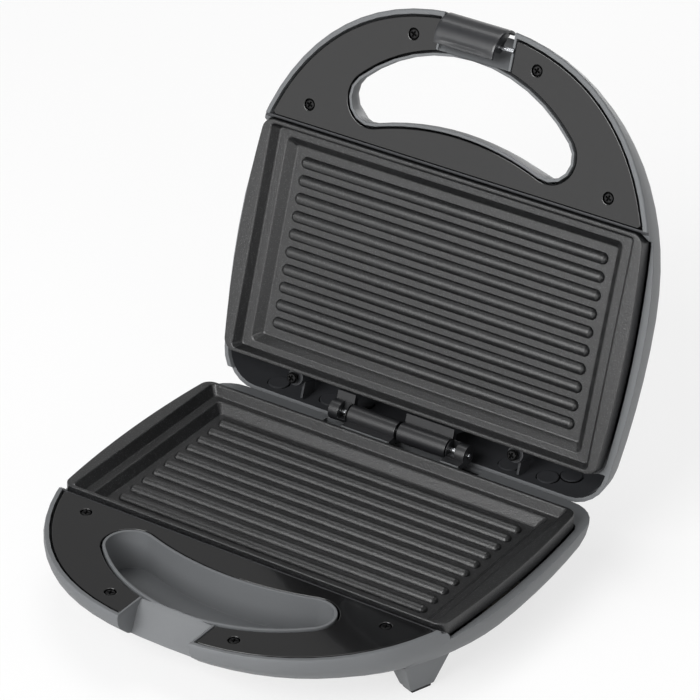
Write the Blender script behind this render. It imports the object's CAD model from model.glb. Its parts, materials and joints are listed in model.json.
"""Dresses the packed sandwich toaster: halves, ribbed plates, gloss trims, hinge, latch and studio."""

import json
import logging
import math
from dataclasses import dataclass
from enum import Enum
from typing import Iterable, Mapping, Optional, Sequence, Union

import bmesh
import bpy
from mathutils import Matrix, Vector

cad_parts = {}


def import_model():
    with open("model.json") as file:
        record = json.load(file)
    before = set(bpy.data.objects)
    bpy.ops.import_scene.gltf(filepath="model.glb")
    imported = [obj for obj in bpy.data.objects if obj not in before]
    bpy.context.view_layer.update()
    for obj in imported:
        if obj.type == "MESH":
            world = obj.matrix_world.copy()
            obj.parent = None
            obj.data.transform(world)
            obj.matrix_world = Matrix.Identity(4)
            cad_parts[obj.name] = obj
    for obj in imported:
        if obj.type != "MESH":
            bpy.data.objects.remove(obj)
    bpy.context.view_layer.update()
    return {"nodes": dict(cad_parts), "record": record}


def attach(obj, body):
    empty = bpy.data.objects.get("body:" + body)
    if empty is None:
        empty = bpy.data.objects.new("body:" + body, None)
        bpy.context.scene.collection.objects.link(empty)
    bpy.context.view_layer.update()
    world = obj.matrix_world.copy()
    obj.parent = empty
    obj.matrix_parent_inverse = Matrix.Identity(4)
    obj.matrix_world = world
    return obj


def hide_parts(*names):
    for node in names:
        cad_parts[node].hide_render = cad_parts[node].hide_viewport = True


LOG = logging.getLogger("sandwich_toaster")
MM = 0.001
SHIFT_Y = -10.8407
PARTING_Z = 40.0
HINGE_Y = 71.5
HINGE_RISE = 0.9
LOOKING_RAYS = ("Is Camera Ray", "Is Glossy Ray", "Is Transmission Ray")
LID_OPEN = math.radians(107.3)
TRIM_SCREWS = ((-85.6, -72.7), (85.6, -72.7), (-35.0, -122.0), (35.0, -122.0))

Colour = tuple[float, float, float, float]
Piece = bpy.types.Object


def srgb(code: str) -> Colour:
    """Turns a hex colour such as 77787a into linear red, green, blue and alpha.

    Args:
        code: Six hexadecimal digits.

    Returns:
        The linear colour with an alpha of 1.
    """
    parts = [int(code[i : i + 2], 16) / 255 for i in (0, 2, 4)]
    linear = [c / 12.92 if c <= 0.04045 else ((c + 0.055) / 1.055) ** 2.4 for c in parts]
    return (linear[0], linear[1], linear[2], 1.0)


class Half(Enum):
    """The two halves that share one drawing, each named after its body."""

    BASE = "base"
    LID = "lid"

    @property
    def placing(self) -> Matrix:
        """The matrix from the half's drawing, in millimetres, to the open part, in metres.

        Returns:
            The matrix; in the drawing, the half's material lies below its parting plane.
        """
        to_row = Matrix.Translation((0, SHIFT_Y * MM, PARTING_Z * MM)) @ Matrix.Scale(MM, 4)
        if self is Half.BASE:
            return to_row
        pivot = Matrix.Translation((0, HINGE_Y, HINGE_RISE))
        turn = Matrix.Rotation(-LID_OPEN, 4, "X")
        flip = Matrix.Diagonal((1, 1, -1, 1))
        return to_row @ pivot @ turn @ pivot.inverted() @ flip


# ---- shader maths


class Signal:
    """A shader socket that can be added, subtracted, multiplied and raised like a number."""

    def __init__(self, kit: "ShaderKit", socket: bpy.types.NodeSocket) -> None:
        self.kit = kit
        self.socket = socket

    def _maths(self, operation: str, first: object, second: object = 0.0) -> "Signal":
        """Adds one Math node and returns its output."""
        return self.kit.node("ShaderNodeMath", {"operation": operation}, {0: first, 1: second})

    def __add__(self, other: object) -> "Signal":
        """Adds."""
        return self._maths("ADD", self, other)

    def __radd__(self, other: object) -> "Signal":
        """Adds, with the number first."""
        return self._maths("ADD", other, self)

    def __sub__(self, other: object) -> "Signal":
        """Subtracts."""
        return self._maths("SUBTRACT", self, other)

    def __rsub__(self, other: object) -> "Signal":
        """Subtracts from a number."""
        return self._maths("SUBTRACT", other, self)

    def __mul__(self, other: object) -> "Signal":
        """Multiplies."""
        return self._maths("MULTIPLY", self, other)

    def __pow__(self, other: object) -> "Signal":
        """Raises to a power."""
        return self._maths("POWER", self, other)

    def clamped(self) -> "Signal":
        """The signal kept between 0 and 1."""
        return self.kit.node("ShaderNodeClamp", {}, {0: self})


class ShaderKit:
    """Builds one material's nodes."""

    def __init__(self, name: str) -> None:
        """Starts a material with a Principled shader and its output."""
        self.material = bpy.data.materials.new(name)
        self.material.use_nodes = True
        self.tree = self.material.node_tree
        self.shader = self.tree.nodes["Principled BSDF"]

    def node(
        self,
        kind: str,
        settings: Mapping[str, object],
        inputs: Mapping[Union[int, str], object],
        output: Union[int, str] = 0,
    ) -> Signal:
        """Adds a node, sets it up and feeds it.

        Args:
            kind: The node's type.
            settings: Properties that are set before the sockets.
            inputs: Values or signals for its sockets, by index or name.
            output: The output to return.

        Returns:
            The chosen output as a signal.
        """
        made = self.tree.nodes.new(kind)
        for key, value in settings.items():
            setattr(made, key, value)
        for key, value in inputs.items():
            if isinstance(value, Signal):
                self.tree.links.new(value.socket, made.inputs[key])
            else:
                made.inputs[key].default_value = value
        return Signal(self, made.outputs[output])

    def place(self) -> Signal:
        """The surface's place in metres, in the piece's own coordinates."""
        return self.node("ShaderNodeTexCoord", {}, {}, "Object")

    def noise(self, size_mm: float, detail: float = 2.0, roughness: float = 0.5) -> Signal:
        """A soft noise from 0 to 1.

        Args:
            size_mm: About how wide its blotches are.
            detail: How many finer layers it has.
            roughness: How strong these are.

        Returns:
            The noise.
        """
        return self.node(
            "ShaderNodeTexNoise",
            {"noise_dimensions": "3D"},
            {"Vector": self.place(), "Scale": 1 / (size_mm * MM), "Detail": detail, "Roughness": roughness},
        )

    def cells(self, size_mm: float) -> Signal:
        """The distance to the nearest of many scattered points, about size_mm apart."""
        inputs = {"Vector": self.place(), "Scale": 1 / (size_mm * MM)}
        return self.node("ShaderNodeTexVoronoi", {}, inputs, "Distance")

    def mix(self, factor: Signal, low: object, high: object) -> Signal:
        """A colour between low and high."""
        return self.node("ShaderNodeMix", {"data_type": "RGBA"}, {0: factor, 6: low, 7: high}, 2)

    def feed(self, **sockets: object) -> None:
        """Feeds the shader.

        Args:
            sockets: Values or signals, by the socket's name with underscores for its spaces.
        """
        for key, value in sockets.items():
            socket = self.shader.inputs[key.replace("_", " ")]
            if isinstance(value, Signal):
                self.tree.links.new(value.socket, socket)
            else:
                socket.default_value = value

    def bump(self, height: Signal, depth_mm: float) -> None:
        """Raises the surface by the height signal.

        Args:
            height: A signal from 0 to 1.
            depth_mm: How deep a full step of the signal is.
        """
        normal = self.node(
            "ShaderNodeBump", {}, {"Strength": 1.0, "Distance": depth_mm * MM, "Height": height}
        )
        self.feed(Normal=normal)


class WorldKit(ShaderKit):
    """Builds the nodes of the scene's surround."""

    def __init__(self, name: str) -> None:
        """Starts a world with a white background."""
        self.world = bpy.data.worlds.new(name)
        self.world.use_nodes = True
        self.tree = self.world.node_tree
        self.shader = self.tree.nodes["Background"]


# ---- finishes


@dataclass(frozen=True)
class MouldedPlastic:
    """Matt moulded plastic with a fine spark-eroded grain and faint unevenness."""

    name: str
    dark: Colour
    light: Colour
    roughness: float
    grain_mm: float = 0.45
    grain_depth: float = 0.012
    specular: float = 0.42

    def build(self) -> bpy.types.Material:
        """Makes the material."""
        kit = ShaderKit(self.name)
        grain = kit.noise(self.grain_mm, 2.0, 0.6)
        drift = kit.noise(38.0, 1.0)
        kit.feed(
            Base_Color=kit.mix((grain * 0.45 + drift * 0.55).clamped(), self.dark, self.light),
            Roughness=(self.roughness - 0.05 + grain * 0.1).clamped(),
            Specular_IOR_Level=self.specular,
        )
        kit.bump(grain, self.grain_depth)
        return kit.material


@dataclass(frozen=True)
class PolishedPlastic:
    """Glossy black plastic with the faint ripple and dust-fine haze of a polished moulding."""

    name: str
    colour: Colour
    haze: Colour
    roughness: float
    coat: float
    ripple_depth: float

    def build(self) -> bpy.types.Material:
        """Makes the material."""
        kit = ShaderKit(self.name)
        ripple = kit.noise(26.0, 1.0)
        dust = kit.noise(3.5, 3.0)
        kit.feed(
            Base_Color=kit.mix(dust, self.colour, self.haze),
            Roughness=(self.roughness + dust * 0.06).clamped(),
            Coat_Weight=self.coat,
            Coat_Roughness=0.05,
        )
        kit.bump(ripple, self.ripple_depth)
        return kit.material


@dataclass(frozen=True)
class NonStickCoating:
    """Dark non-stick coating on cast metal: a pebbled skin with pale flecks."""

    name: str
    dark: Colour
    light: Colour
    fleck: Colour
    roughness: float = 0.38

    def build(self) -> bpy.types.Material:
        """Makes the material."""
        kit = ShaderKit(self.name)
        skin = kit.noise(0.9, 3.0, 0.65)
        drift = kit.noise(24.0, 2.0)
        flecks = (1 - kit.cells(0.9) * 2.2).clamped() ** 3
        body = kit.mix(((skin - 0.35) * 2.2 + (drift - 0.5) * 0.6).clamped(), self.dark, self.light)
        kit.feed(
            Base_Color=kit.mix(flecks * 0.5, body, self.fleck),
            Roughness=(self.roughness - 0.1 + skin * 0.2).clamped(),
            Specular_IOR_Level=0.7,
        )
        kit.bump(skin * 0.7 + flecks * 0.3, 0.2)
        return kit.material


@dataclass(frozen=True)
class Metal:
    """Drawn, rolled or dulled metal with fine lines along one axis and a little tarnish."""

    name: str
    colour: Colour
    tarnish: Colour
    roughness: float
    metallic: float = 1.0
    specular: float = 0.5

    def build(self) -> bpy.types.Material:
        """Makes the material."""
        kit = ShaderKit(self.name)
        stretch = kit.node(
            "ShaderNodeMapping", {}, {"Vector": kit.place(), "Scale": (120.0, 2600.0, 2600.0)}
        )
        lines = kit.node("ShaderNodeTexNoise", {}, {"Vector": stretch, "Scale": 1.0, "Detail": 2.0})
        stain = kit.noise(7.0, 3.0)
        kit.feed(
            Base_Color=kit.mix(stain, self.colour, self.tarnish),
            Metallic=self.metallic,
            Specular_IOR_Level=self.specular,
            Roughness=(self.roughness - 0.06 + lines * 0.12).clamped(),
        )
        kit.bump(lines, 0.004)
        return kit.material


@dataclass(frozen=True)
class TintedLens:
    """Clear tinted plastic with a moulded grain behind its face."""

    name: str
    tint: Colour
    deep: Colour

    def build(self) -> bpy.types.Material:
        """Makes the material."""
        kit = ShaderKit(self.name)
        grain = kit.noise(0.8, 1.0)
        kit.feed(
            Base_Color=kit.mix(grain, self.tint, self.deep),
            Roughness=0.12,
            Transmission_Weight=0.5,
            IOR=1.5,
        )
        kit.bump(grain, 0.03)
        return kit.material


class Finishes:
    """Every finish of the toaster, each made once."""

    def __init__(self) -> None:
        """Makes the materials, by their slots in the record and by part of a piece."""
        self.made: dict[str, bpy.types.Material] = {}
        for finish in (
            MouldedPlastic("shell_plastic", srgb("5d5f61"), srgb("6d6f71"), 0.55),
            MouldedPlastic("shell_inside", srgb("2e2f31"), srgb("3b3c3f"), 0.42),
            PolishedPlastic("hinge_plastic", srgb("141416"), srgb("1e1f21"), 0.38, 0.15, 0.006),
            PolishedPlastic("trim_plastic", srgb("060607"), srgb("0a0a0b"), 0.1, 0.7, 0.005),
            PolishedPlastic("latch_plastic", srgb("1d1e20"), srgb("28292c"), 0.34, 0.25, 0.004),
            NonStickCoating("coated_plate", srgb("060607"), srgb("1b1c1d"), srgb("8c8e91")),
            Metal("pan_steel", srgb("b9bbbd"), srgb("9c9ea1"), 0.36),
            Metal("bright_steel", srgb("d3d5d8"), srgb("babdc1"), 0.2),
            Metal("black_steel", srgb("09090a"), srgb("101011"), 0.42, 0.0, 0.22),
            MouldedPlastic("dark_recess", srgb("020202"), srgb("050505"), 0.8, specular=0.08),
            Metal("heater_steel", srgb("77787a"), srgb("4f4c4a"), 0.46),
            MouldedPlastic("ceramic", srgb("cfcabd"), srgb("e2ded3"), 0.6, 0.3),
            MouldedPlastic("lead_sleeve", srgb("8f3022"), srgb("a83a29"), 0.55, 0.5),
            MouldedPlastic("rubber", srgb("161617"), srgb("212122"), 0.75, 0.6, 0.02),
            TintedLens("red_lens", srgb("a01519"), srgb("7d0d11")),
            TintedLens("green_lens", srgb("1d8a3c"), srgb("12672b")),
        ):
            self.made[finish.name] = finish.build()

    def __getitem__(self, name: str) -> bpy.types.Material:
        """The material of that name."""
        return self.made[name]


# ---- modelling


def deselect() -> None:
    """Leaves edit mode and deselects every object."""
    if bpy.context.object is not None and bpy.context.object.mode != "OBJECT":
        bpy.ops.object.mode_set(mode="OBJECT")
    bpy.ops.object.select_all(action="DESELECT")


def take(piece: Piece) -> None:
    """Makes one piece the only selected and active object.

    Args:
        piece: The piece.
    """
    deselect()
    piece.select_set(True)
    bpy.context.view_layer.objects.active = piece


def settle(piece: Piece) -> None:
    """Moves the piece's place into its mesh."""
    take(piece)
    bpy.ops.object.transform_apply(location=True, rotation=True, scale=True)


def apply_modifier(piece: Piece, kind: str, **settings: object) -> None:
    """Adds a modifier, sets it and applies it.

    Args:
        piece: The piece.
        kind: The modifier's type.
        settings: Its properties.
    """
    take(piece)
    modifier = piece.modifiers.new(kind.title(), kind)
    for key, value in settings.items():
        setattr(modifier, key, value)
    bpy.ops.object.modifier_apply(modifier=modifier.name)


def round_edges(piece: Piece, width_mm: float, segments: int = 2, angle: float = 32.0) -> None:
    """Rounds the sharp edges of a piece.

    Args:
        piece: The piece, in metres.
        width_mm: How wide the rounding is; over MM where the piece is still drawn in millimetres.
        segments: How many faces it has across.
        angle: The least turn, in degrees, that counts as sharp.
    """
    apply_modifier(
        piece,
        "BEVEL",
        width=width_mm * MM,
        segments=segments,
        limit_method="ANGLE",
        angle_limit=math.radians(angle),
        use_clamp_overlap=False,
        miter_outer="MITER_ARC" if segments > 1 else "MITER_SHARP",
    )


def smooth(piece: Piece, angle: float = 35.0, weighted: bool = True) -> None:
    """Shades a piece smooth.

    Args:
        piece: The piece.
        angle: Edges that turn more than this, in degrees, stay sharp.
        weighted: Whether its large flats stay flat up to their rounded edges.
    """
    take(piece)
    bpy.ops.object.shade_smooth_by_angle(angle=math.radians(angle))
    if weighted:
        apply_modifier(piece, "WEIGHTED_NORMAL", mode="FACE_AREA", weight=60, keep_sharp=True)


def cut_away(piece: Piece, cutter: Piece) -> None:
    """Cuts one piece out of another and removes the cutter."""
    apply_modifier(piece, "BOOLEAN", operation="DIFFERENCE", solver="EXACT", object=cutter)
    bpy.data.objects.remove(cutter)


def block(name: str, low: Sequence[float], high: Sequence[float]) -> Piece:
    """A box, ready to be cut or bevelled.

    Args:
        name: The new piece's name.
        low: Its lowest corner.
        high: Its highest corner.

    Returns:
        The box.
    """
    deselect()
    middle = [(a + b) / 2 for a, b in zip(low, high)]
    bpy.ops.mesh.primitive_cube_add(size=1, location=middle, scale=[b - a for a, b in zip(low, high)])
    piece = bpy.context.object
    piece.name = name
    settle(piece)
    return piece


def rod(
    name: str, at: Sequence[float], radius: float, length: float, axis: str = "Z", sides: int = 48
) -> Piece:
    """A round rod, ready to be cut or bevelled.

    Args:
        name: The new piece's name.
        at: Its middle.
        radius: Its radius.
        length: Its length.
        axis: The axis that it lies along: X, Y or Z.
        sides: How many sides it has.

    Returns:
        The rod.
    """
    deselect()
    turn = {"X": (0, math.pi / 2, 0), "Y": (math.pi / 2, 0, 0), "Z": (0, 0, 0)}[axis]
    bpy.ops.mesh.primitive_cylinder_add(
        vertices=sides, radius=radius, depth=length, location=at, rotation=turn
    )
    piece = bpy.context.object
    piece.name = name
    settle(piece)
    return piece


def copied_node(node: str, name: str) -> Piece:
    """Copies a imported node's mesh into a new piece, merged.

    Args:
        node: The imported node.
        name: The new piece's name.

    Returns:
        The new piece.
    """
    piece = bpy.data.objects.new(name, FRAME[node].data.copy())
    bpy.context.scene.collection.objects.link(piece)
    piece.data.materials.clear()
    take(piece)
    bpy.ops.object.mode_set(mode="EDIT")
    bpy.ops.mesh.select_all(action="SELECT")
    bpy.ops.mesh.remove_doubles(threshold=0.002 * MM)
    bpy.ops.object.mode_set(mode="OBJECT")
    return piece


def circle(radius: float, z: float, count: int) -> list[Vector]:
    """Points evenly round a level circle about the upright axis.

    Args:
        radius: Its radius.
        z: Its height.
        count: How many points it has.

    Returns:
        The points.
    """
    angles = [2 * math.pi * i / count for i in range(count)]
    return [Vector((radius * math.cos(t), radius * math.sin(t), z)) for t in angles]


def stacked_rings(name: str, rings: Sequence[Sequence[Vector]]) -> Piece:
    """Grows a closed skin from ring to ring, by extruding the edge of a filled circle.

    Args:
        name: The new piece's name.
        rings: Rings of as many points each.

    Returns:
        The new piece, its normals pointing outwards.
    """
    count = len(rings[0])
    deselect()
    bpy.ops.mesh.primitive_circle_add(vertices=count, radius=1, fill_type="NGON")
    piece = bpy.context.object
    piece.name = name
    bpy.ops.object.mode_set(mode="EDIT")
    form = bmesh.from_edit_mesh(piece.data)
    form.verts.ensure_lookup_table()
    current = list(range(count))
    for index, point in zip(current, rings[0]):
        form.verts[index].co = point
    for face in form.faces:
        face.select = False
    for edge in form.edges:
        edge.select = True
    for ring in rings[1:]:
        bpy.ops.mesh.extrude_edges_move()
        form = bmesh.from_edit_mesh(piece.data)
        form.verts.ensure_lookup_table()
        grown = []
        for index in current:
            vertex = form.verts[index]
            partner = next(e.other_vert(vertex) for e in vertex.link_edges if e.other_vert(vertex).select)
            grown.append(partner)
        for vertex, point in zip(grown, ring):
            vertex.co = point
        form.verts.index_update()
        current = [vertex.index for vertex in grown]
    bpy.ops.mesh.edge_face_add()
    bpy.ops.mesh.select_all(action="SELECT")
    bpy.ops.mesh.normals_make_consistent(inside=False)
    bpy.ops.object.mode_set(mode="OBJECT")
    return piece


def joined(name: str, pieces: Sequence[Piece]) -> Piece:
    """Joins pieces into one.

    Args:
        name: The new name.
        pieces: The pieces.

    Returns:
        The first of them, which holds them all.
    """
    deselect()
    for piece in pieces:
        piece.select_set(True)
    bpy.context.view_layer.objects.active = pieces[0]
    bpy.ops.object.join()
    pieces[0].name = name
    return pieces[0]


def spread(first: Piece, places: Sequence[Sequence[float]]) -> list[Piece]:
    """Sets copies of a piece at several places.

    Args:
        first: The piece, which goes to the first place.
        places: The places.

    Returns:
        The piece and its copies.
    """
    pieces = [first]
    for _ in places[1:]:
        other = first.copy()
        other.data = first.data.copy()
        bpy.context.scene.collection.objects.link(other)
        pieces.append(other)
    for piece, place in zip(pieces, places):
        piece.location = place
        settle(piece)
    return pieces


def set_in_half(piece: Piece, half: Half) -> None:
    """Takes a piece from a half's drawing to its place on the open part.

    Args:
        piece: The piece, in millimetres.
        half: The half. The lid's drawing is mirrored, so its faces are turned over.
    """
    settle(piece)
    piece.data.transform(half.placing)
    if half is Half.LID:
        piece.data.flip_normals()


FRAME: dict[str, Piece] = {}


@dataclass
class Dresser:
    """Hands finished pieces over: finish, slot, body and the node that each stands for."""

    finishes: Finishes

    def hand_over(
        self,
        piece: Piece,
        finish: str,
        body: str,
        nodes: Sequence[str] = (),
        slot: Optional[str] = None,
    ) -> Piece:
        """Dresses a piece and makes it ride on its body.

        Args:
            piece: The finished piece.
            finish: The name of its main finish.
            body: The body that it rides on.
            nodes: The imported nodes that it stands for.
            slot: The record's slot, where it isn't the finish's name.

        Returns:
            The same piece.
        """
        if not piece.data.materials:
            piece.data.materials.append(self.finishes[finish])
        if nodes:
            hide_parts(*nodes)
        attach(piece, body)
        LOG.info("%s: %d faces, rides on %s", piece.name, len(piece.data.polygons), body)
        return piece


# ---- sub-assemblies


@dataclass(frozen=True)
class GripForm:
    """The kidney outline of a grip opening and the front curve of the halves, in millimetres."""

    half_w: float = 117.8
    front: float = 138.1
    squareness: float = 2.38
    front_r: float = 85.0
    front_y: float = -34.3
    end_r: float = 13.5
    end: tuple[float, float] = (51.0, -84.41)
    rear_r: float = 142.23
    rear_y: float = 62.73

    def front_curve(self, inset: float, t: float) -> tuple[float, float]:
        """A point of the front curve.

        Args:
            inset: How far inside the halves' outline it lies.
            t: Its angle, from pi on the left to two pi on the right.

        Returns:
            Its x and y.
        """
        x, y = math.cos(t), math.sin(t)
        power = 2 / self.squareness
        return (
            (self.half_w - inset) * math.copysign(abs(x) ** power, x),
            (self.front - inset) * math.copysign(abs(y) ** power, y),
        )

    def kidney(self, grow: float, edge_x: float) -> list[tuple[float, float]]:
        """The grip opening's outline.

        Args:
            grow: How far outside the opening it lies.
            edge_x: Where it starts on the front edge, right of the middle.

        Returns:
            Its points, round the right end, along the rear and round the left end to -edge_x.
        """
        front_turn = math.atan2(self.end[0], self.front_y - self.end[1])
        rear_turn = math.atan2(self.end[0], self.rear_y - self.end[1])
        start = math.asin(edge_x / (self.front_r + grow))
        points = []
        front_r, end_r, rear_r = self.front_r + grow, self.end_r + grow, self.rear_r - grow
        for i in range(24):
            t = start + (front_turn - start) * i / 24
            points.append((front_r * math.sin(t), self.front_y - front_r * math.cos(t)))
        turn = math.pi - front_turn + rear_turn
        for i in range(25):
            t = front_turn + turn * i / 24
            points.append((self.end[0] + end_r * math.sin(t), self.end[1] - end_r * math.cos(t)))
        for i in range(1, 20):
            t = rear_turn * (1 - i / 20)
            points.append((rear_r * math.sin(t), self.rear_y - rear_r * math.cos(t)))
        middle = (0.0, self.rear_y - rear_r)
        return points + [middle] + [(-x, y) for x, y in reversed(points)]


@dataclass
class MouldedShell:
    """One moulded half: its shell and its gloss trim."""

    half: Half
    dresser: Dresser
    edge_mm: float = 0.3
    trim_edge_mm: float = 0.35
    trim_inset: float = 3.8
    opening_gap: float = 0.8
    trim_top: float = -2.3
    trim_bottom: float = -4.3
    trim_rear: float = -63.0
    trim_corner_x: float = 103.8
    trim_drop: float = 3.0
    trim_drop_run: float = 14.0
    notch_x: float = 21.5
    hole_r: float = 3.0
    hinge_half_w: float = 40.4
    hinge_rows: tuple[float, float] = (61.4, 77.5)
    step_rows: tuple[float, float] = (-62.7, -60.6)
    step_half_w: float = 112.0
    post_rows: tuple[float, float] = (60.7, 69.8)
    post_columns: tuple[float, float] = (56.0, 73.5)
    post_foot: float = -10.8
    under_plates: float = -24.0
    rim_foot: float = -10.7
    window_x: tuple[float, float] = (29.9, 34.2)
    window_low: tuple[float, float] = (6.5, 1.2)
    window_high: tuple[float, float] = (2.6, 6.5)

    def build(self) -> None:
        """Builds the half's shell and trim."""
        self.shell()
        self.trim()

    def shell(self) -> None:
        """The shell, with rounded edges, and its darker bare plastic inside and at the hinge."""
        body = self.half.value
        piece = copied_node(f"{body}_shell", f"{body}_shell_moulding")
        self.hinge_window(piece)
        for finish in ("shell_plastic", "shell_inside", "hinge_plastic"):
            piece.data.materials.append(self.dresser.finishes[finish])
        back = self.half.placing.inverted()
        for face in piece.data.polygons:
            centre = back @ face.center
            normal = (back.to_3x3() @ face.normal).normalized()
            face.material_index = self.finish_index(centre, normal)
        round_edges(piece, self.edge_mm)
        smooth(piece, 32)
        self.dresser.hand_over(piece, "shell_plastic", body, [f"{body}_shell"])

    def finish_index(self, at: Vector, normal: Vector) -> int:
        """Which finish a face of the shell has.

        Args:
            at: The face's centre in the half's drawing, in millimetres.
            normal: Its normal there.

        Returns:
            0 for the painted outside, 1 for the bare inside, 2 for the hinge.
        """
        off = abs(at.x)
        at_hinge = off < self.hinge_half_w and self.hinge_rows[0] < at.y < self.hinge_rows[1]
        if at_hinge and at.z > -6.0 and (at.y > 66 or at.z > -5):
            return 2
        on_step = self.step_rows[0] < at.y < self.step_rows[1] and off < self.step_half_w
        if on_step and max(abs(normal.y), normal.z) > 0.9:
            return 1
        if self.half is Half.BASE and at.z < self.under_plates:
            return 0
        in_rows = self.post_rows[0] < at.y < self.post_rows[1]
        on_post = in_rows and self.post_columns[0] < off < self.post_columns[1]
        if self.half is Half.LID and on_post and at.z > self.post_foot:
            return 1
        inward = (at.y > 61 and normal.y < -0.05) or (off > 80 and normal.x * at.x < -5) or normal.z > 0.3
        deep = at.z < self.rim_foot and at.y > -60.5 and off < 114
        if deep and (inward or (at.y < HINGE_Y and off < 100 and at.z > -30)):
            return 1
        return 0

    def hinge_window(self, piece: Piece) -> None:
        """Cuts the window in the short knuckle, through which the pin shows.

        Args:
            piece: The shell.
        """
        side = 1 if self.half is Half.BASE else -1
        axis_z = HINGE_RISE if self.half is Half.BASE else -HINGE_RISE
        left, right = sorted(side * x for x in self.window_x)
        low = (left, HINGE_Y - self.window_low[0], axis_z - self.window_low[1])
        high = (right, HINGE_Y + self.window_high[0], axis_z + self.window_high[1])
        cutter = block("window", low, high)
        set_in_half(cutter, self.half)
        cut_away(piece, cutter)

    def trim_outline(self) -> list[tuple[float, float]]:
        """The trim's outline.

        Returns:
            Its points, round the outside from the notch's left edge, then back round the opening.
        """
        form = GripForm()
        left = []
        steps = 150
        for i in range(steps):
            t = 1.5 * math.pi - (math.pi / 2) * i / steps
            x, y = form.front_curve(self.trim_inset, t)
            rear_line = self.trim_rear - self.trim_drop * (abs(x) - self.trim_corner_x) / self.trim_drop_run
            if x > -self.notch_x:
                continue
            if y > rear_line:
                break
            left.append((x, y))
        outer = [(-self.notch_x, left[0][1])] + left
        corner = (-self.trim_corner_x, self.trim_rear)
        opening = form.kidney(self.opening_gap, self.notch_x)
        right = [(-x, y) for x, y in reversed([*outer, corner])]
        return [*outer, corner, *right, *opening]

    def trim(self) -> None:
        """The gloss trim: one outline given its thickness, drilled for its screws, its edges rounded."""
        body = self.half.value
        outline = self.trim_outline()
        rings = [[Vector((x, y, z)) for x, y in outline] for z in (self.trim_bottom, self.trim_top)]
        piece = stacked_rings(f"{body}_trim_panel", rings)
        for x, y in TRIM_SCREWS:
            cut_away(piece, rod("drill", (x, y, self.trim_top), self.hole_r, 8))
        round_edges(piece, self.trim_edge_mm / MM, 3, 40)
        set_in_half(piece, self.half)
        smooth(piece, 40)
        self.dresser.hand_over(piece, "trim_plastic", body, [f"{body}_trim"])


@dataclass
class LidInside:
    """The ejector marks and the thin stiffeners that show behind the upper plate's rear edge."""

    dresser: Dresser
    mark_r: float = 5.4
    mark_t: float = 0.7
    gap_h: float = 0.3
    mark_section: tuple[tuple[float, float], ...] = (
        (1.12, -0.6),
        (1.12, 0.1),
        (1.0, 0.1),
        (1.0, 0.8),
        (0.94, 1.0),
        (0.8, 1.0),
        (0.7, 0.75),
    )
    marks: tuple[tuple[float, float, float], ...] = (
        (53.6, 74.9, -19.0),
        (75.1, 74.6, -19.8),
        (84.5, 72.0, -26.5),
        (-83.9, 74.7, -19.5),
        (-53.1, 74.4, -20.4),
        (-37.2, 72.0, -26.5),
    )
    lean: tuple[float, float, float] = (0.0, -0.95, 0.32)
    corner_mark: tuple[float, float, float] = (103.9, 70.5, -17.0)
    corner_lean: tuple[float, float, float] = (-0.72, -0.65, 0.25)
    rib_t: float = 1.4
    ribs: tuple[float, ...] = (62.6, -65.0)
    rib_y: tuple[float, float] = (67.0, 76.0)
    rib_z: tuple[float, float] = (-21.5, -11.5)

    def build(self) -> None:
        """Builds the marks and the stiffeners."""
        marks = [self.mark(at, self.lean) for at in self.marks]
        marks.append(self.mark(self.corner_mark, self.corner_lean))
        all_marks = joined("lid_ejector_marks", marks)
        half_t = self.rib_t / 2
        (front, back), (foot, head) = self.rib_y, self.rib_z
        ribs = [block("rib", (x - half_t, front, foot), (x + half_t, back, head)) for x in self.ribs]
        all_ribs = joined("lid_stiffeners", ribs)
        round_edges(all_ribs, 0.3 / MM)
        for piece in (all_marks, all_ribs):
            set_in_half(piece, Half.LID)
            smooth(piece)
            self.dresser.hand_over(piece, "shell_inside", "lid", slot="shell_plastic")

    def mark(self, at: Sequence[float], lean: Sequence[float]) -> Piece:
        """One round mark with a soft edge and a dished face.

        Args:
            at: Its middle, on the wall.
            lean: The direction that it faces.

        Returns:
            The mark.
        """
        turn = Vector(lean).to_track_quat("Z", "Y").to_matrix()
        rings = []
        for share, rise in self.mark_section:
            ring = circle(self.mark_r * share, self.mark_t * rise, 40)
            rings.append([Vector(at) + turn @ point for point in ring])
        piece = stacked_rings("mark", rings)
        for finish in ("shell_inside", "dark_recess"):
            piece.data.materials.append(self.dresser.finishes[finish])
        for face in piece.data.polygons:
            height = (face.center - Vector(at)).dot(Vector(lean).normalized())
            face.material_index = 1 if height < self.gap_h else 0
        return piece


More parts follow.
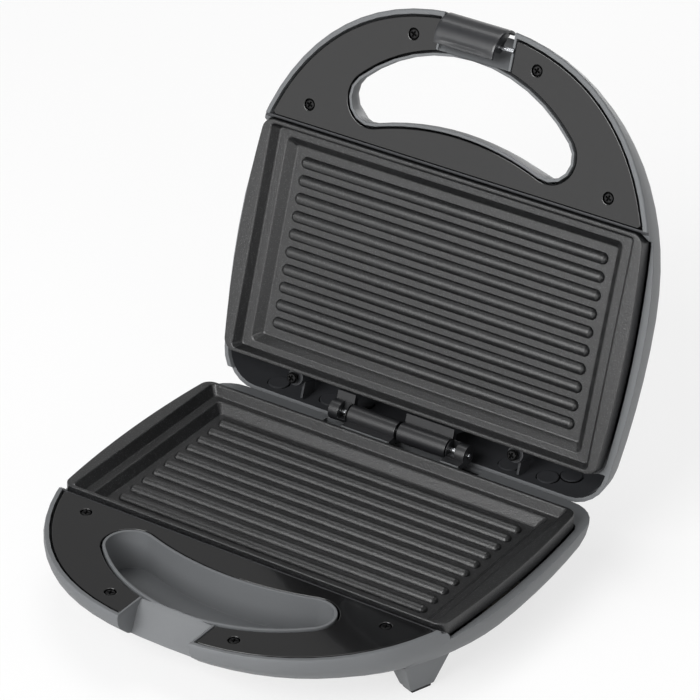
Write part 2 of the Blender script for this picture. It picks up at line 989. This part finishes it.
@dataclass
class Screws:
    """Black countersunk cross-head screws, one modelled and copied to each place."""

    dresser: Dresser
    head_r: float = 2.3
    head_h: float = 1.6
    collar_r: float = 2.95
    recess_z: float = -0.35
    shank_r: float = 1.3

    def build(self) -> None:
        """Builds the trims' screws and the screws in the rear posts."""
        posts = ((61.0, 65.2), (-68.6, 65.2))
        for half in Half:
            body = half.value
            side = 1 if half is Half.LID else -1
            gap = 2.3 if half is Half.LID else 15.0
            places = [(x, y, -2.5) for x, y in TRIM_SCREWS]
            self.screw_set(f"{body}_trim_screws", half, places, 11.0)
            places = [(side * x, y, -gap - 1.8) for x, y in posts]
            self.screw_set(f"{body}_post_screws", half, places, 9.0)

    def model(self, length: float) -> Piece:
        """One screw, its head's face at height 0.

        Args:
            length: From the head's face to the tip.

        Returns:
            The screw.
        """
        section = (
            (self.shank_r * 0.55, -length),
            (self.shank_r, -length + 1.2),
            (self.shank_r, -self.head_h),
            (self.collar_r, -1.25),
            (self.collar_r, -1.05),
            (self.head_r, -1.05),
            (self.head_r, -0.3),
            (self.head_r - 0.3, -0.05),
            (self.head_r - 0.9, 0.0),
        )
        screw = stacked_rings("screw", [circle(radius, z, 48) for radius, z in section])
        for turn in (math.radians(20), math.radians(110)):
            slot = block("slot", (-1.7, -0.5, -1.0), (1.7, 0.5, 0.5))
            slot.rotation_euler = (0, 0, turn)
            settle(slot)
            cut_away(screw, slot)
        for finish in ("black_steel", "dark_recess"):
            screw.data.materials.append(self.dresser.finishes[finish])
        for face in screw.data.polygons:
            face.material_index = 1 if face.center.z < self.recess_z else 0
        return screw

    def screw_set(
        self, node: str, half: Half, places: Sequence[tuple[float, float, float]], length: float
    ) -> None:
        """One node's screws as one piece.

        Args:
            node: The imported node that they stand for.
            half: The half that they are in.
            places: The middle of each head's face, in the half's drawing.
            length: Each screw's length.
        """
        piece = joined(f"{node}_turned", spread(self.model(length), places))
        set_in_half(piece, half)
        smooth(piece, 35)
        self.dresser.hand_over(piece, "black_steel", half.value, [node])


@dataclass
class Latch:
    """The clip: a curved face with a scooped lip, on webs that turn on a bright pin."""

    dresser: Dresser
    pin: tuple[float, float] = (-128.0, -1.8)
    pin_r: float = 1.1
    centre: tuple[float, float] = (-125.6, -5.7)
    outer_r: float = 10.9
    wall: float = 1.5
    lip_angle: float = 74.0
    top_angle: float = 216.0
    left: float = -19.7
    length: float = 33.4
    scoop: float = 0.75
    end_slant: float = 1.3
    web_t: float = 2.0
    hub_r: float = 3.1
    bore_r: float = 1.25
    pin_length: float = 42.4

    def build(self) -> None:
        """Builds the face, the webs and the pin."""
        face = self.face()
        webs = [self.web(self.left + x) for x in (1.0, 15.0, self.length - self.web_t + 0.1)]
        clip = joined("latch_clip", [face, *webs])
        set_in_half(clip, Half.LID)
        smooth(clip, 35, weighted=False)
        self.dresser.hand_over(clip, "latch_plastic", "latch", ["latch"])
        pin = rod("latch_pin_bright", (0, self.pin[0], self.pin[1]), self.pin_r, self.pin_length, "X", 32)
        round_edges(pin, 0.2 / MM, 2, 40)
        set_in_half(pin, Half.LID)
        smooth(pin)
        self.dresser.hand_over(pin, "bright_steel", "lid", ["latch_pin"])

    def on_arc(self, x: float, radius: float, degrees: float) -> Vector:
        """A point of the clip's section at a place along the pin."""
        t = math.radians(degrees)
        return Vector((x, self.centre[0] + radius * math.cos(t), self.centre[1] + radius * math.sin(t)))

    def section(self, x: float, share: float, slant: float) -> list[Vector]:
        """The curved face's section at a place along the pin.

        Args:
            x: The place.
            share: 0 at the ends and 1 in the middle, for the depth of the scoop.
            slant: How much further along the pin its top lies than its lip.

        Returns:
            Its points, from the top round the outside to the lip and back inside.
        """
        inner = self.outer_r - self.wall
        points = []
        steps = 48
        for i in range(steps + 1):
            angle = self.top_angle + (self.lip_angle - self.top_angle) * i / steps
            above_lip = angle - self.lip_angle
            dip = math.sin(math.pi * min(max((above_lip - 3.0) / 17.0, 0.0), 1.0)) ** 2
            flare = 0.35 * math.exp(-((above_lip / 3.0) ** 2))
            points.append(self.on_arc(x, self.outer_r - self.scoop * share * dip + flare, angle))
        for i in range(1, 6):
            t = i / 6
            angle = self.lip_angle - 3.2 * math.sin(math.pi * t)
            points.append(self.on_arc(x, self.outer_r - self.wall * t, angle))
        for i in range(25):
            angle = self.lip_angle + (self.top_angle - self.lip_angle) * i / 24
            points.append(self.on_arc(x, inner, angle))
        lip, top = points[steps], points[0]
        for point in points:
            point.x += slant * (lip - point).length / (lip - top).length
        return points

    def face(self) -> Piece:
        """The curved face, grown along the pin.

        Returns:
            The face.
        """
        rings = []
        count = 28
        for i in range(count + 1):
            u = i / count
            ends = min(u, 1 - u) * self.length
            share = min(1.0, max(0.0, (ends - 2.2) / 9.0)) ** 0.7
            rings.append(self.section(self.left + u * self.length, share, self.end_slant * u * u))
        piece = stacked_rings("latch_face", rings)
        round_edges(piece, 0.22 / MM, 2, 50)
        return piece

    def web(self, x: float) -> Piece:
        """One web from the hub on the pin to the curved face.

        Args:
            x: Its left side's place along the pin.

        Returns:
            The web.
        """
        on_face = [self.on_arc(0, self.outer_r - self.wall / 2, degrees) for degrees in range(98, 208, 5)]
        outline = [(place.y, place.z) for place in on_face]
        for degrees in (*range(250, 380, 15), *range(20, 75, 15)):
            t = math.radians(degrees)
            outline.append((self.pin[0] + self.hub_r * math.cos(t), self.pin[1] + self.hub_r * math.sin(t)))
        rings = [[Vector((x + dx, y, z)) for y, z in outline] for dx in (0.0, self.web_t)]
        piece = stacked_rings("latch_web", rings)
        cut_away(piece, rod("bore", (x + 1, self.pin[0], self.pin[1]), self.bore_r, 6, "X"))
        round_edges(piece, 0.2 / MM, 2, 50)
        return piece


@dataclass
class GrillPlate:
    """A ribbed cast plate with a non-stick coating, drawn in millimetres below its parting plane."""

    half: Half
    dresser: Dresser
    corner_x: float = 108.6
    half_y: float = 60.5
    bow: float = 3.4
    top: float = -0.4
    ledge: float = -5.7
    field: float = -10.1
    field_size: tuple[float, float] = (92.6, 49.5)
    slope: float = 3.9
    ledge_size: tuple[float, float] = (101.4, 56.9)
    mouth_size: tuple[float, float] = (104.1, 58.7)
    skirt: float = -8.2
    wall: float = 2.2
    ribs: int = 10
    rib_pitch: float = 9.3
    rib_reach: float = 85.3
    rib_radius: float = 3.2
    post: tuple[float, float, float] = (80.0, 42.0, 4.0)
    post_end: float = -19.35
    rib_sink: float = 0.9

    def build(self) -> None:
        """Builds the plate with its ribs and the posts on its back."""
        node = "lower_plate" if self.half is Half.BASE else "upper_plate"
        piece = joined(f"{node}_casting", [self.tray(), *self.rib_set(), *self.post_set()])
        set_in_half(piece, self.half)
        smooth(piece, 40)
        self.dresser.hand_over(piece, "coated_plate", self.half.value, [node])

    def ring(self, x: float, y: float, bow: float, corner: float, z: float) -> list[Vector]:
        """One ring of a round-cornered rectangle whose sides may bow out.

        Args:
            x: Half its length at the corners.
            y: Half its depth.
            bow: How far its sides bow out.
            corner: The corners' radius.
            z: Its height.

        Returns:
            Its points, anticlockwise from above.
        """
        bow = max(bow, 0.001)
        side_r = (y * y + bow * bow) / (2 * bow)
        side_x = x + bow - side_r
        centre_y = y - corner
        turn = math.asin(centre_y / (side_r - corner))
        centre_x = side_x + (side_r - corner) * math.cos(turn)
        quarter = []
        for i in range(9):
            t = turn * i / 8
            quarter.append((side_x + side_r * math.cos(t), side_r * math.sin(t)))
        for i in range(1, 9):
            t = turn + (math.pi / 2 - turn) * i / 8
            quarter.append((centre_x + corner * math.cos(t), centre_y + corner * math.sin(t)))
        inner = quarter[1:]
        points = quarter + [(-px, py) for px, py in reversed(quarter)]
        points += [(-px, -py) for px, py in inner] + [(px, -py) for px, py in reversed(inner)]
        return [Vector((px, py, z)) for px, py in points]

    def tray(self) -> Piece:
        """The flange, mouth, ledge and field, with the skirt and a closed back.

        Returns:
            The tray.
        """
        fx, fy = self.field_size
        lx, ly = self.ledge_size
        mx, my = self.mouth_size
        back = self.wall
        x, y, bow = self.corner_x, self.half_y, self.bow
        rings = [
            self.ring(fx + back, fy + back, 0, 1.5, self.field - back),
            self.ring(fx + self.slope + back, fy + self.slope + back, 0, 1.5, self.ledge - back),
            self.ring(x - back, y - back, bow, 4, self.ledge - back),
            self.ring(x - back, y - back, bow, 4, self.skirt),
            self.ring(x, y, bow, 6, self.skirt),
            self.ring(x, y, bow, 6, self.top),
            self.ring(mx, my, 0, 2.2, self.top),
            self.ring(lx, ly, 0, 1.6, self.ledge),
            self.ring(fx + self.slope, fy + self.slope, 0, 2.6, self.ledge),
            self.ring(fx, fy, 0, 1.4, self.field),
        ]
        piece = stacked_rings("plate_tray", rings)
        round_edges(piece, 0.62 / MM, 3, 28)
        return piece

    def rib_set(self) -> list[Piece]:
        """The ribs: one round-ended bar, copied.

        Returns:
            The bars.
        """
        centre = self.field - self.rib_radius / 6
        deselect()
        bpy.ops.mesh.primitive_uv_sphere_add(segments=28, ring_count=14, radius=self.rib_radius)
        first = bpy.context.object
        first.rotation_euler = (0, math.pi / 2, 0)
        settle(first)
        for vertex in first.data.vertices:
            if abs(vertex.co.x) > 0.01:
                vertex.co.x += math.copysign(self.rib_reach, vertex.co.x)
        take(first)
        bpy.ops.object.mode_set(mode="EDIT")
        bpy.ops.mesh.select_all(action="SELECT")
        low = (0, 0, -self.rib_sink)
        bpy.ops.mesh.bisect(plane_co=low, plane_no=(0, 0, 1), clear_inner=True, use_fill=True)
        bpy.ops.object.mode_set(mode="OBJECT")
        rows = [(index - (self.ribs - 1) / 2) * self.rib_pitch for index in range(self.ribs)]
        return spread(first, [(0, y, centre) for y in rows])

    def post_set(self) -> list[Piece]:
        """The four screw posts on the plate's back.

        Returns:
            The posts.
        """
        x, y, radius = self.post
        low, high = self.post_end, self.field - self.wall / 2
        posts = []
        for sx in (-1, 1):
            for sy in (-1, 1):
                middle = (sx * x, sy * y, (low + high) / 2)
                posts.append(rod("post", middle, radius, high - low, sides=32))
                round_edges(posts[-1], 0.4 / MM, 2)
        return posts


@dataclass
class SmallParts:
    """The hinge pin and the foot pads: each node's copy with its edges rounded."""

    dresser: Dresser

    def build(self) -> None:
        """Builds every small part that shows."""
        for node, finish, body, edge in (
            ("foot_pads", "rubber", "base", 0.3),
            ("hinge_pin", "bright_steel", "base", 0.25),
        ):
            piece = copied_node(node, f"{node}_finished")
            round_edges(piece, edge)
            smooth(piece)
            self.dresser.hand_over(piece, finish, body, [node])


class Insides:
    """The nodes that stay as they were packed, each with its finish."""

    def __init__(self, finishes: Finishes, record: Mapping[str, object]) -> None:
        """Keeps the finishes and the record's slots."""
        self.finishes = finishes
        self.slots = {part["node"]: part["material_slot"] for part in record["subparts"]}

    def dress(self, nodes: Mapping[str, Piece]) -> None:
        """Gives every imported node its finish.

        Args:
            nodes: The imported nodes' objects, by name.
        """
        for name, node in nodes.items():
            node.data.materials.clear()
            node.data.materials.append(self.finishes[self.slots[name]])


# ---- studio


@dataclass
class Studio:
    """The camera, a pale floor and soft lamps."""

    lens_mm: float = 218.27
    sensor_mm: float = 36.0
    eye: tuple[float, float, float] = (0.95589, (-1444.85 + SHIFT_Y) * MM, 1.12432)
    view: tuple[tuple[float, float, float], ...] = (
        (0.8335, -0.2878, 0.47185),
        (0.5526, 0.4104, -0.72555),
        (0.0151, 0.8653, 0.50093),
    )
    floor_glow: float = 0.72
    surround: float = 0.24
    dim_from: float = 0.12
    dim_to: float = 0.45
    overhead: float = 0.3

    def build(self) -> None:
        """Builds the studio."""
        self.camera()
        self.floor()
        self.lamps()
        self.world()

    def camera(self) -> None:
        """The camera at the photograph's viewpoint."""
        data = bpy.data.cameras.new("studio_camera")
        data.lens = self.lens_mm
        data.sensor_width = self.sensor_mm
        data.clip_end = 50
        camera = bpy.data.objects.new("studio_camera", data)
        bpy.context.scene.collection.objects.link(camera)
        camera.matrix_world = Matrix.Translation(self.eye) @ Matrix(self.view).to_4x4()
        bpy.context.scene.camera = camera

    def floor(self) -> None:
        """A wide pale floor that the camera sees as near white."""
        deselect()
        bpy.ops.mesh.primitive_plane_add(size=12, location=(0, 0, 0))
        floor = bpy.context.object
        floor.name = "studio_floor"
        kit = ShaderKit("studio_floor")
        kit.feed(Base_Color=(0.93, 0.93, 0.93, 1), Roughness=0.9)
        seen = kit.node("ShaderNodeEmission", {}, {"Color": (1, 1, 1, 1), "Strength": 1.0})
        mix = kit.node("ShaderNodeMixShader", {}, {0: self.looked_at(kit) * self.floor_glow, 2: seen})
        kit.tree.links.new(kit.shader.outputs[0], mix.socket.node.inputs[1])
        kit.tree.links.new(mix.socket, kit.tree.nodes["Material Output"].inputs[0])
        floor.data.materials.append(kit.material)

    @staticmethod
    def looked_at(kit: ShaderKit) -> Signal:
        """1 for rays from the camera, a gloss or clear plastic, so that all of them see the same white."""
        rays = [kit.node("ShaderNodeLightPath", {}, {}, name) for name in LOOKING_RAYS]
        return (rays[0] + rays[1] + rays[2]).clamped()

    def lamp(self, name: str, at: Sequence[float], aim: Sequence[float], size: float, watts: float) -> None:
        """One square soft lamp.

        Args:
            name: Its name.
            at: Where it hangs.
            aim: What it points at.
            size: The length of its side.
            watts: Its power.
        """
        data = bpy.data.lights.new(name, "AREA")
        data.size = size
        data.energy = watts
        lamp = bpy.data.objects.new(name, data)
        bpy.context.scene.collection.objects.link(lamp)
        lamp.location = at
        lamp.rotation_euler = (Vector(aim) - Vector(at)).to_track_quat("-Z", "Y").to_euler()

    def lamps(self) -> None:
        """A key lamp from the front, a fill from the right, a soft top light and one behind."""
        self.lamp("key", (-0.25, -2.1, 1.35), (0, 0, 0.1), 1.5, 64)
        self.lamp("rear", (-0.2, 2.1, 0.45), (0, 0, 0.2), 0.7, 14)
        self.lamp("fill", (1.9, -1.2, 0.7), (0, 0, 0.1), 1.0, 9)
        self.lamp("top", (-0.5, 0.5, 2.3), (0, 0, 0.1), 1.2, 14)

    def world(self) -> None:
        """A surround that the camera sees as white, and that dims overhead where gloss mirrors it."""
        kit = WorldKit("studio_surround")
        towards = kit.node("ShaderNodeTexCoord", {}, {}, "Generated")
        rise = kit.node("ShaderNodeSeparateXYZ", {}, {0: towards}, "Z")
        above = ((rise - self.dim_from) * (1 / (self.dim_to - self.dim_from))).clamped()
        mirrored = 1 - above * (1 - self.overhead)
        camera, gloss, clear = (kit.node("ShaderNodeLightPath", {}, {}, name) for name in LOOKING_RAYS)
        reflected = (gloss + clear).clamped()
        lit = (1 - camera) * (1 - reflected) * self.surround
        kit.feed(Color=(1, 1, 1, 1), Strength=camera + reflected * (1 - camera) * mirrored + lit)
        bpy.context.scene.world = kit.world


def main() -> None:
    """Builds the whole scene."""
    logging.basicConfig(level=logging.INFO, format="%(name)s: %(message)s")
    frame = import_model()
    FRAME.update(frame["nodes"])
    bpy.context.scene.view_settings.view_transform = "Standard"
    Studio().build()
    finishes = Finishes()
    dresser = Dresser(finishes)
    Insides(finishes, frame["record"]).dress(frame["nodes"])
    for half in Half:
        MouldedShell(half, dresser).build()
        GrillPlate(half, dresser).build()
    Screws(dresser).build()
    Latch(dresser).build()
    LidInside(dresser).build()
    SmallParts(dresser).build()


if __name__ == "__main__":
    main()
